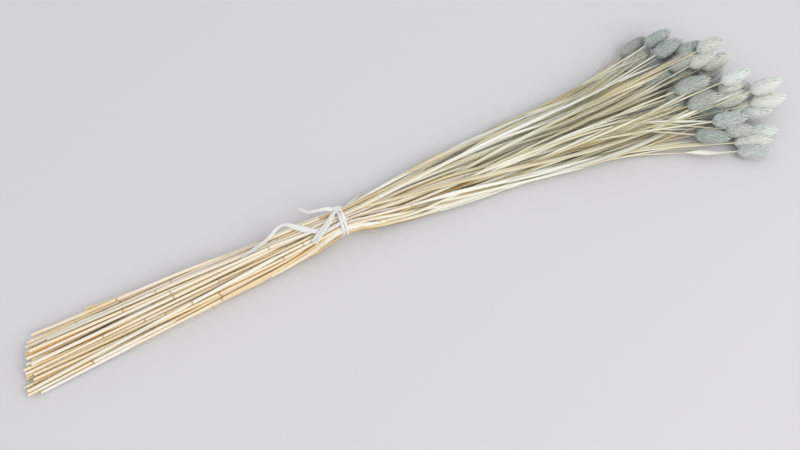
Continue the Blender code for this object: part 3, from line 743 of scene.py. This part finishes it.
def sweep_leaf(bm, stem, reaches, section, columns, tone=None):
    """Adds a closed papery body along a stem, in the leaves' own material."""
    verts = sweep(bm, stem.run, reaches, section, columns)
    paint(bm, verts, tone=leaf_tone_and_shade(stem) if tone is None else tone)
    for face in {face for vert in verts for face in vert.link_faces}:
        face.material_index = LEAF_MATERIAL


def closed_round(along, opens, power):
    """How much of its round a sheath still covers, from 1 to nearly 0 at its open end."""
    return np.clip((1.02 - along) / opens, 0.03, 1) ** power


def add_sleeve(bm, stem, start, length, spread):
    """A papery sheath wrapped round the stem from a joint, which opens and thins out at its end."""
    run = stem.run
    end = min(start + length, run.length - SLEEVE_CLEAR)
    if end - start < SLEEVE_LEAST:
        return
    reaches = np.linspace(start, end, max(6, int((end - start) / SHEATH_STEP)))
    middle, twist = rng.uniform(-2.2, 2.2), rng.uniform(-0.8, 0.8)

    def section(reach, share):
        along = (reach - start) / (end - start)
        held = np.clip(np.abs(np.interp(reach, run.reach, run.at[:, 0])) / HELD_NEAR, 0.1, 1)
        loose = np.interp(reach, run.reach, stem.radius_along) + held * (OFF_STEM + spread * along**2)
        half_angle = SLEEVE_COVERS * closed_round(along, SLEEVE_OPENS, 0.7)
        return curved_strip(share, loose, loose, half_angle, middle + twist * along, SLEEVE_THICK)

    sweep_leaf(bm, stem, reaches, section, columns=16)


def add_leaf_sheath(bm, stem):
    """The broad flattened sheath that wraps a stem before its head, out to where the solid's surface is."""
    run = stem.run
    stands_out = (stem.outer_along - stem.radius_along).max()
    if stands_out < SWOLLEN_LEAST:
        return
    start = reach_of(stem, SHEATHED_FROM) + rng.uniform(0, 0.02)
    end = reach_of(stem, SHEATHED_TO) + rng.uniform(-0.035, 0.02)
    reaches = np.linspace(start, end, int((end - start) / SHEATH_STEP))
    flat = 1 + FLATTENED * stands_out
    middle, twist = rng.uniform(-0.9, 0.9), rng.uniform(-0.5, 0.5)

    def section(reach, share):
        along = (reach - start) / (end - start)
        outer = np.interp(reach, run.reach, stem.outer_along)
        least = np.interp(reach, run.reach, stem.radius_along) + OFF_STEM
        wide, high = np.maximum(outer * flat, least), np.maximum(outer / flat, least)
        half_angle = SHEATH_COVERS * closed_round(along, SHEATH_OPENS, 0.8)
        return curved_strip(share, wide, high, half_angle, middle + twist * along, LEAF_THICK)

    sweep_leaf(bm, stem, reaches, section, columns=18)


def add_leaf(bm, stem, start, length, width, drift, lift, tone=None):
    """A long dry leaf blade that starts on the stem, tapers to both ends and drifts away from the stem."""
    run = stem.run
    end = min(start + length, run.length - LEAF_CLEAR)
    if end - start < LEAF_LEAST:
        return
    reaches = np.linspace(start, end, 6 + int((end - start) / LEAF_STEP))
    turn, twist = rng.normal(0, 0.35), rng.normal(0, 0.6)

    def section(reach, share):
        across = across_strip(share)
        along = (reach - start) / (end - start)
        half = width / 2 * np.clip(np.minimum(3 * along, 1 - along**2.5), 0.08, 1)
        skin = strip_skin(share, LEAF_THICK) + LEAF_BOW * half * (1 - across**2)
        angle = turn + twist * (along - 0.5)
        off_stem = np.interp(reach, run.reach, stem.outer_along) + OFF_SHEATH
        aside = across * half * np.cos(angle) + skin * np.sin(angle) + drift * along
        outwards = skin * np.cos(angle) - across * half * np.sin(angle) + off_stem + lift * along
        return aside, outwards

    sweep_leaf(bm, stem, reaches, section, columns=10, tone=tone)


def add_fibre(bm, stem, start, length, drift, lift):
    """A loose hair of the leaf that curls away from the stem."""
    run = stem.run
    end = min(start + length, run.length - LEAF_CLEAR)

    def section(reach, share):
        along = (reach - start) / (end - start)
        angle = 2 * math.pi * share
        off_stem = np.interp(reach, run.reach, stem.outer_along)
        aside = FIBRE_RADIUS * np.sin(angle) + drift * along**2
        return aside, FIBRE_RADIUS * np.cos(angle) + off_stem + lift * along**1.5

    verts = sweep(bm, run, np.linspace(start, end, 14), section, columns=3)
    paint(bm, verts, tone=rng.uniform(0.0, 0.3), joint=0.35)


def add_joint(stem):
    """Gives some of the stems one joint more, further on."""
    further = stem.joint_reaches[-1] + rng.uniform(0.09, 0.15)
    if rng.random() < 0.5 and further < stem.run.length - 0.12:
        stem.joint_reaches.append(further)


def add_sleeves(bm, stem):
    """The sheaths that wrap a stem from its cut end and from its joints."""
    joints = stem.joint_reaches + [stem.run.length]
    if rng.random() < 0.6:
        start = rng.uniform(0.0, 0.012)
        add_sleeve(bm, stem, start, joints[0] * rng.uniform(0.5, 0.9), spread=0.0001)
    for joint, following in zip(joints, joints[1:]):
        if rng.random() < 0.8:
            length = (following - joint) * rng.uniform(0.45, 0.8)
            add_sleeve(bm, stem, joint + 0.0012, length, spread=rng.uniform(0.0001, 0.0006))


def add_leaves(bm, stem):
    """A broad blade that clings to the stem, and narrow loose ones before its head."""
    if rng.random() < 0.7:
        start = reach_of(stem, rng.uniform(0.015, 0.13))
        length = rng.uniform(0.08, 0.17)
        add_leaf(bm, stem, start, length, rng.uniform(0.0028, 0.0048), drift=0.0, lift=0.0)
    for _ in range(LOOSE_LEAVES):
        start = reach_of(stem, rng.uniform(0.10, 0.29))
        length = rng.uniform(0.06, 0.13)
        drift = rng.uniform(-0.005, 0.005) + BUNCH_SPREADS * (stem.base[1] - BUNCH_MIDDLE)
        lift = rng.uniform(-0.002, 0.002)
        add_leaf(bm, stem, start, length, rng.uniform(0.0014, 0.0034), drift, lift)


def add_gap_shade_leaves(bm, stem):
    """Dark blades low in the gaps beside the stem, two where a gap is wide: painted shade of the bunch's
    depth.
    """
    for x, gap in stem.gaps:
        for share in (1.0,) if gap < GAP_WIDE else GAP_SHARES:
            start = reach_of(stem, x - GAP_LEAF_BEFORE)
            length = rng.uniform(0.09, 0.13)
            width = min(gap + GAP_LEAF_OVER, GAP_LEAF_WIDEST)
            # Their low tone is painted shade
            add_leaf(bm, stem, start, length, width, -share * gap, GAP_LEAF_LIFT, rng.uniform(0.0, 0.4))


def add_fibres(bm, stem):
    """Up to two loose hairs, anywhere on the stem."""
    for _ in range(rng.integers(0, 3)):
        start = reach_of(stem, rng.uniform(-0.03, 0.30))
        length = rng.uniform(0.02, 0.06)
        add_fibre(bm, stem, start, length, drift=rng.normal(0, 0.006), lift=rng.uniform(0.001, 0.007))


def add_edge_growth(bm, stem):
    """The broad leaves and hairs of the bunch's edges that start on this stem."""
    for x, edge, length, width, drift in stem.edge_leaves:
        add_leaf(bm, stem, reach_of(stem, x), length, width, -edge * drift, lift=0.0004, tone=EDGE_LEAF_TONE)
    for x, edge, length, drift in stem.edge_fibres:
        add_fibre(bm, stem, reach_of(stem, x), length, -edge * drift, lift=0.002)


def cover(stems):
    """How far each stem is covered by others that lie over it, from 0 to 1, for the painted shade."""
    lines = np.array([[np.interp(COVER_AT, s.run.at[:, 0], s.run.at[:, k]) for k in (1, 2)] for s in stems])
    apart = lines[None, :] - lines[:, None]
    over = (np.abs(apart[:, :, 0]) < COVER_NEAR) & (apart[:, :, 1] > COVER_ABOVE)
    return np.clip(over.sum(axis=1).mean(axis=1) / COVER_FULL, 0, 1)


def outermost(stems, x, edge):
    """The stem that lies furthest out on one side of the bunch at this distance from the tie."""
    reaching = [s for s in stems if s.run.at[0, 0] < x < s.run.at[-1, 0] - RUNS_ON]
    return max(reaching, key=lambda s: edge * np.interp(x, s.run.at[:, 0], s.run.at[:, 1]))


def seen_across(stem, x):
    """Where the camera sees a stem at this distance from the tie, on the surface across the bunch."""
    at = stem.run.at
    return np.interp(x, at[:, 0], at[:, 1] + at[:, 2] / math.tan(VIEW_DOWN))


def find_gaps(stems):
    """Where the floor would show between each stem and the next, as the camera sees them."""
    for x in GAPS_AT:
        lying = [s for s in stems if s.run.at[-1, 0] > x + GAP_RUNS_ON]
        lying.sort(key=lambda s: seen_across(s, x))
        for stem, following in zip(lying, lying[1:]):
            gap = seen_across(following, x) - seen_across(stem, x)
            if gap > GAP_LEAST:
                stem.gaps.append((x, gap))


def plan_stalks(stems):
    """Gives each stem what its place decides: its gaps, its edge growth, and its tone with painted shade."""
    for stem in stems:
        stem.gaps, stem.edge_leaves, stem.edge_fibres = [], [], []
    find_gaps(stems)
    for row in EDGE_FIBRES:
        outermost(stems, *row[:2]).edge_fibres.append(row)
    for row in EDGE_LEAVES:
        outermost(stems, *row[:2]).edge_leaves.append(row)
    for stem, covered in zip(stems, cover(stems)):
        stem.covered = covered
        # A random tone, darker by painted shade where other stems lie over this one
        stem.tone = float(np.clip(0.95 - 0.55 * covered + rng.normal(0, 0.25), 0, 1))


def make_stalks(stems, straw, sheath):
    """One piece for each stem, with its sheaths, leaves and fibres."""
    plan_stalks(list(stems.values()))
    for node, stem in stems.items():
        bm = new_mesh()
        add_joint(stem)
        add_stem(bm, stem)
        add_sleeves(bm, stem)
        add_leaf_sheath(bm, stem)
        add_leaves(bm, stem)
        add_gap_shade_leaves(bm, stem)
        add_fibres(bm, stem)
        add_edge_growth(bm, stem)
        finish_piece(node.replace("stem", "stalk"), bm, (straw, sheath), [node])


# Seed heads


def head_outline(share):
    """A head's radius, as a share of its widest, from its base at 0 to its tip at 1."""
    skewed = np.clip(share, 0, 1) ** HEAD_SKEW
    return (4 * skewed * (1 - skewed)) ** HEAD_BLUNT * (1 - HEAD_TAPERS * np.clip(2 * share - 1, 0, 1))


def spikelet_mesh():
    """One spikelet along Z, with its keel towards Y: a small boat with a pointed tip."""
    bm = new_mesh()
    uv_layer = bm.loops.layers.uv[UV_NAME]
    bmesh.ops.create_uvsphere(bm, u_segments=5, v_segments=4, radius=1)
    places = {}
    for vert in bm.verts:
        share = (vert.co.z + 1) / 2
        angle = math.atan2(vert.co.y, vert.co.x) + math.pi / 2
        girth = math.sin(math.pi * share**0.7) if 0 < share < 1 else 0
        across, out = math.cos(angle), math.sin(angle)
        places[vert] = (share, 1 - abs(out) if out > 0 else 1.0)
        keel = SPIKELET_KEEL if out > 0 else SPIKELET_BACK
        vert.co.x = across * girth * SPIKELET_WIDTH / 2
        vert.co.y = out * keel * girth * SPIKELET_THICK / 2 + SPIKELET_FLARE * SPIKELET_LENGTH * share**3
        vert.co.z = share * SPIKELET_LENGTH
    for face in bm.faces:
        for loop in face.loops:
            loop[uv_layer].uv = places[loop.vert]
    bmesh.ops.recalc_face_normals(bm, faces=bm.faces)
    return settled(bm, "spikelet")


def copy_in(bm, mesh, shape, matrix, **values):
    """Adds a copy of a small mesh, whose points are given, in its place and with its own layer values."""
    turn, shift = np.array(matrix.to_3x3()), np.array(matrix.translation)
    points = shape @ turn.T + shift
    points[:, 2] = np.maximum(points[:, 2], FLOOR_CLEAR)
    mesh.vertices.foreach_set("co", points.astype(np.float32).ravel())
    for name, value in values.items():
        mesh.attributes[name].data.foreach_set("value", np.full(len(shape), value, np.float32))
    bm.from_mesh(mesh)


def head_frame(stem):
    """A matrix whose Z runs along a head from its base."""
    ahead = Vector(stem.ahead)
    side = ahead.cross(Vector((0, 0, 1))).normalized()
    rotation = Matrix((side, ahead.cross(side), ahead)).transposed().to_4x4()
    return Matrix.Translation(Vector(stem.base)) @ rotation


def spikelet_frame(root, tip, out, size):
    """How a spikelet is turned and scaled to reach from root to tip, with its keel outwards."""
    ahead = (tip - root).normalized()
    side = ahead.cross(out).normalized()
    face = side.cross(ahead)
    scale = (tip - root).length / SPIKELET_LENGTH * size
    return Matrix((side * scale, face * scale, ahead * scale)).transposed().to_4x4()


def add_core(bm, place, length, radius):
    """The dark heart of a head, which its spikelets stand out of: painted shade between them."""
    made = bmesh.ops.create_uvsphere(bm, u_segments=12, v_segments=9, radius=1)
    for vert in made["verts"]:
        share = (vert.co.z + 1) / 2
        across = Vector((vert.co.x, vert.co.y, 0))
        if across.length > 1e-9:
            across = across.normalized() * radius * CORE_RADIUS * float(head_outline(share))
        vert.co = place @ (across + Vector((0, 0, share * length * CORE_LENGTH)))
    paint(bm, made["verts"], tone=0.3, tint=0.5)


def add_head(bm, stem, spikelet, shape):
    """One seed head: tiers of spikelets, each half a step round from the last."""
    place = head_frame(stem)
    length = stem.head_length * HEAD_LONGER
    radius = HEAD_RADIUS * stem.head_girth
    add_core(bm, place, length, radius)
    tiers = int(length / TIER_STEP)
    for tier in range(tiers):
        tip_share = FIRST_TIP + (1 - FIRST_TIP) * (tier + 0.8) / tiers
        base_share = tip_share - SPIKELET_SPAN
        outline = float(head_outline(min(tip_share, LAST_TIP)))
        tip_radius = radius * (TIP_RADIUS - TIP_NARROWS * tip_share) * outline
        root_radius = ROOT_RADIUS * radius * float(head_outline(max(base_share, 0.0)))
        count = max(4, round(2 * math.pi * tip_radius / SPIKELET_STEP))
        for k in range(count):
            angle = 2 * math.pi * (k + 0.5 * (tier % 2)) / count + rng.normal(0, 0.05)
            out = Vector((math.cos(angle), math.sin(angle), 0))
            root = out * root_radius + Vector((0, 0, base_share * length))
            tip = out * tip_radius * rng.uniform(0.92, 1.10) + Vector((0, 0, tip_share * length))
            turn = spikelet_frame(root, tip, out, rng.uniform(0.96, 1.03))
            # Its head's tone, which carries painted light, and a random part
            tone = np.clip(stem.head_tone + rng.normal(0, 0.14), 0, 1)
            tint = np.clip(stem.head_tint + rng.normal(0, 0.08), 0, 1)
            copy_in(bm, spikelet, shape, place @ Matrix.Translation(root) @ turn, tone=tone, tint=tint)


def sort_faces(bm):
    """Puts the faces in their points' order, because a ball's come in another order at each run."""
    bm.verts.index_update()
    count = len(bm.verts)
    bm.faces.sort(key=lambda face: face.verts[0].index * count + face.verts[1].index)


def nearest_heads(stem):
    """The node of heads that a stem ends in, and how long its head is."""
    offsets = {}
    for node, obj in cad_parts.items():
        if node.startswith("heads"):
            offsets[node] = np.array([vert.co for vert in obj.data.vertices]) - stem.base
    nearest = min(offsets, key=lambda node: np.linalg.norm(offsets[node], axis=1).min())
    along = offsets[nearest] @ stem.ahead
    aside = np.linalg.norm(offsets[nearest] - np.outer(along, stem.ahead), axis=1)
    tips = along[(aside < ON_AXIS) & (along > HEAD_SHORTEST) & (along < HEAD_LONGEST)]
    return nearest, float(tips.max()) if tips.size else HEAD_LENGTH


def make_heads(stems, chaff):
    """One piece for each node of heads."""
    spikelet = spikelet_mesh()
    shape = np.array([vert.co for vert in spikelet.vertices])
    groups = {}
    for stem in stems.values():
        node, stem.head_length = nearest_heads(stem)
        stem.head_girth = rng.uniform(0.95, 1.05)
        # Painted light on the more openly lit heads, and a random tone
        painted_light = (stem.base[0] - HEADS_FROM) / HEADS_OVER + PAINTED_LIGHT_ASIDE * abs(stem.base[1])
        stem.head_tone = np.clip(painted_light + rng.normal(0.08, 0.15), 0, 1)
        stem.head_tint = rng.uniform(0.1, 0.9)
        groups.setdefault(node, []).append(stem)
    for node in sorted(groups):
        bm = new_mesh()
        for stem in groups[node]:
            add_head(bm, stem, spikelet, shape)
        sort_faces(bm)
        finish_piece(node.replace("heads", "seed_heads"), bm, (chaff,), [node])
    bpy.data.meshes.remove(spikelet)


# The tie


def add_ribbon(bm, run, rings, width):
    """A stretch of ribbon along a run. width() takes lengths along it and gives its widths there."""
    reaches = np.linspace(0, run.length, rings)
    return sweep(bm, run, reaches, lambda reach, share: flat_strip(share, width(reach)), RIBBON_ROUND)


def add_strand(bm, run, widths, middle, wide, height, end):
    """One of the strands that lie side by side in a loose tail, and part at its tip."""
    def section(reach, share):
        full = RIBBON_WIDTH * np.interp(reach / run.length, *widths)
        parted = np.clip((reach / run.length - TAIL_PARTS_FROM) / (1 - TAIL_PARTS_FROM), 0, 1)
        aside, outwards = flat_strip(share, full * wide * (1 - 0.2 * parted))
        return aside + full * middle * (1 + 0.6 * parted), outwards + height

    verts = sweep(bm, run, np.linspace(0, end * run.length, 60), section, RIBBON_ROUND)
    paint(bm, verts, tone=rng.uniform(0.3, 1.0))


def make_tail(name, node, route, material, widths):
    """One loose tail of the ribbon, a thin strip that narrows to its end, on its route."""
    curve = smooth_route(route, steps=6)
    run = make_run(curve[:, :3], curve[:, 3])
    bm = new_mesh()
    for strand in TAIL_STRANDS:
        add_strand(bm, run, widths, *strand)
    piece = finish_piece(name, bm, (material,), [node])


def add_turn(bm, shift, wide, lift, tone):
    """One turn of the ribbon round the stems."""
    angle = np.linspace(0, 2 * math.pi, BAND_RINGS)
    level = BAND_RADIUS + lift
    x = BAND_MIDDLE + shift + BAND_WAVERS * np.sin(angle + 40 * shift)
    z = np.maximum(BAND_CENTRE - level * np.cos(angle), BAND_CLEAR)
    outward = np.stack((0 * angle, np.sin(angle), -np.cos(angle)), axis=1)
    run = make_wrap(np.stack((x, level * np.sin(angle), z), axis=1), outward)

    def width(reach):
        return wide * (1 + BAND_UNEVEN * np.sin(reach * 300 + 900 * shift))

    paint(bm, add_ribbon(bm, run, BAND_RINGS, width), tone=tone)


def add_knot(bm):
    """The knot: short turns of the ribbon over a lump on the band, and the starts of its tails."""
    angle = math.radians(KNOT_AT)
    outward = np.array((0, math.cos(angle), math.sin(angle)))
    around = np.array((0, -math.sin(angle), math.cos(angle)))
    onwards = np.array((1, 0, 0))
    middle = np.array((BAND_MIDDLE, 0, BAND_CENTRE)) + outward * (BAND_RADIUS + KNOT_OFF_BAND)
    bend = np.linspace(-KNOT_BEND, KNOT_BEND, 15)[:, None]
    for offset, slant, wide, lift in KNOT_TURNS:
        points = middle + onwards * KNOT_LONG * np.sin(bend) + outward * (KNOT_HIGH + lift) * np.cos(bend)
        run = make_wrap(points + around * (offset + slant * bend), outward + onwards * np.sin(bend))
        verts = add_ribbon(bm, run, rings=15, width=lambda reach: wide)
        paint(bm, verts, tone=rng.uniform(0.3, 1.0))
    for route in KNOT_LEADS:
        run = make_run(smooth_route(route, steps=5))
        verts = add_ribbon(bm, run, rings=18, width=lambda reach: LEAD_WIDTH)
        paint(bm, verts, tone=rng.uniform(0.7, 1.0))


def make_band(material):
    """The ribbon's turns round the stems and its knot."""
    bm = new_mesh()
    for turn in BAND_TURNS:
        add_turn(bm, *turn)
    add_knot(bm)
    finish_piece("ribbon_band", bm, (material,), ["tie_band"])


# Floor and light


def make_floor():
    """A pale surface under the bunch."""
    bm = bmesh.new()
    bmesh.ops.create_grid(bm, x_segments=1, y_segments=1, size=FLOOR_REACH)
    mesh = settled(bm, "floor")
    material, shader = new_material("pale surface")
    shader.inputs["Base Color"].default_value = srgb(FLOOR_COLOUR)
    shader.inputs["Roughness"].default_value = 0.75
    shader.inputs["Specular IOR Level"].default_value = 0.2
    mesh.materials.append(material)
    add_object("floor", mesh)


def area_light(name, place, aim, size, power, colour):
    """A soft square lamp that points at a place."""
    data = bpy.data.lights.new(name, "AREA")
    data.shape = "SQUARE"
    data.size, data.energy, data.color = size, power, colour
    lamp = add_object(name, data)
    lamp.location = place
    lamp.rotation_euler = (Vector(aim) - Vector(place)).to_track_quat("-Z", "Y").to_euler()


def make_light():
    """Soft daylight from the front and right, a warm card that returns some, and a white surround."""
    area_light("window", (1.2, -2.4, 2.5), aim=(0.1, 0, 0), size=2.4, power=54, colour=(1.0, 0.985, 0.96))
    area_light("card", (0.7, -1.1, 0.7), aim=(0.2, -0.2, 0), size=0.9, power=1.2, colour=(1.0, 0.90, 0.74))
    world = bpy.data.worlds.new("surround")
    world.use_nodes = True
    background = world.node_tree.nodes["Background"]
    background.inputs["Color"].default_value = SURROUND_COLOUR
    background.inputs["Strength"].default_value = SURROUND_STRENGTH
    bpy.context.scene.world = world
    bpy.context.scene.view_settings.view_transform = "Standard"


def main():
    """The camera and the ribbon's tails, then the rest of the bunch, and the floor and light."""
    place_camera()
    streaks = streak_group()
    ribbon = ribbon_material(streaks)
    make_tail("ribbon_short_tail", "tie_tail_short", SHORT_TAIL, ribbon, SHORT_TAIL_WIDTHS)
    make_tail("ribbon_broad_tail", "tie_tail_broad", BROAD_TAIL, ribbon, BROAD_TAIL_WIDTHS)
    make_tail("ribbon_long_tail", "tie_tail_long", LONG_TAIL, ribbon, LONG_TAIL_WIDTHS)
    make_band(ribbon)
    stems = {node: prepare_stem(node) for node in sorted(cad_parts) if node.startswith("stem")}
    make_stalks(stems, straw_material(streaks), sheath_material(streaks))
    make_heads(stems, spikelet_material(streaks))
    make_floor()
    make_light()


main()
